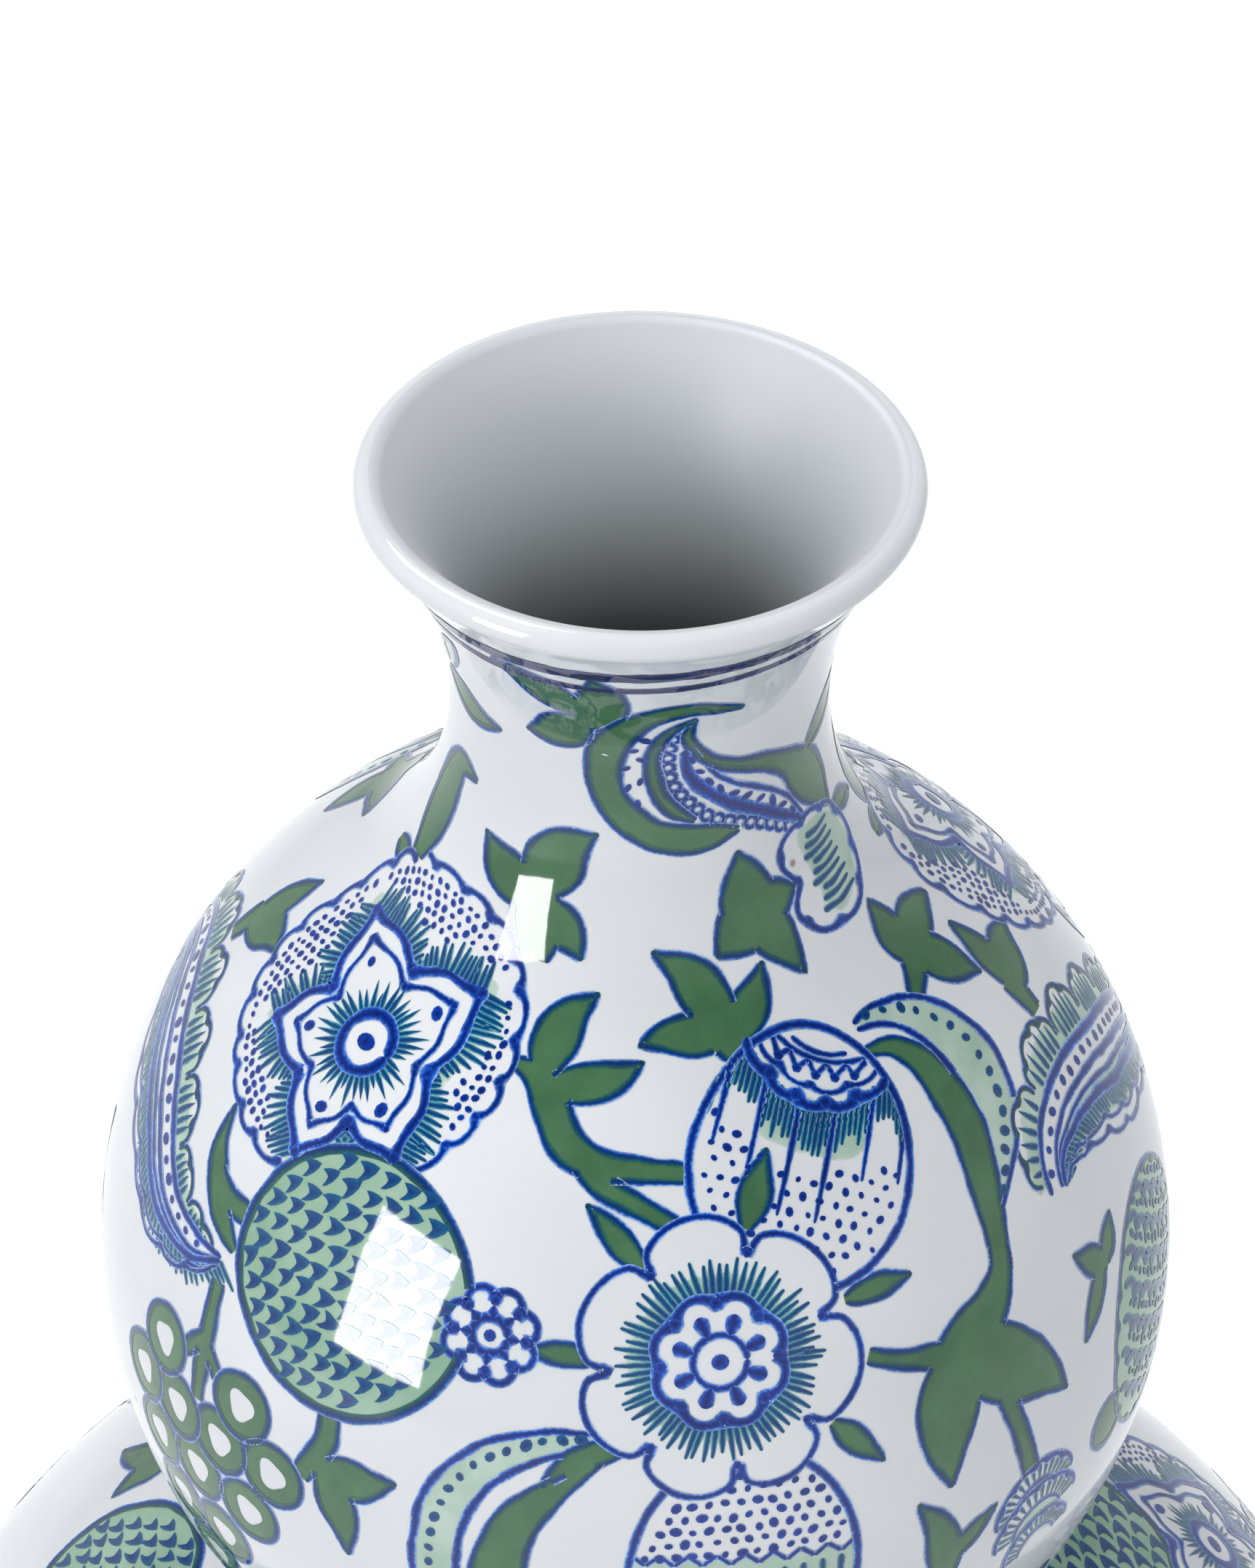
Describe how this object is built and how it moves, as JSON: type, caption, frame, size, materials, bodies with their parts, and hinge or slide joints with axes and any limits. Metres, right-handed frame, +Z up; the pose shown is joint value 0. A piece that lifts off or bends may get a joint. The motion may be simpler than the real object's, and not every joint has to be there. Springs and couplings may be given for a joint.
{
  "type": "double gourd vase",
  "caption": "Double gourd vase: wide lower gourd, smaller round upper gourd, short neck with a flared rounded mouth, on a low foot ring; painted and glazed porcelain.",
  "frame": {"origin": "centre of the ring that the vase stands on, at the bottom", "axes": "+Z up along the vase's axis of revolution; -Y faces the viewer of the picture"},
  "size_m": [0.269, 0.269, 0.4153],
  "materials": {
    "glazed_porcelain": "glossy clear glaze over white porcelain with cobalt blue and green painting",
    "bare_porcelain": "unglazed fired porcelain, fine and matt"
  },
  "bodies": {
    "root": {"foot_ring": "bare_porcelain", "lower_gourd_base": "glazed_porcelain", "lower_gourd_top": "glazed_porcelain", "waist_collar": "glazed_porcelain", "upper_gourd_base": "glazed_porcelain", "upper_gourd_top": "glazed_porcelain", "neck": "glazed_porcelain", "mouth_rim": "glazed_porcelain"}
  },
  "joints": []
}
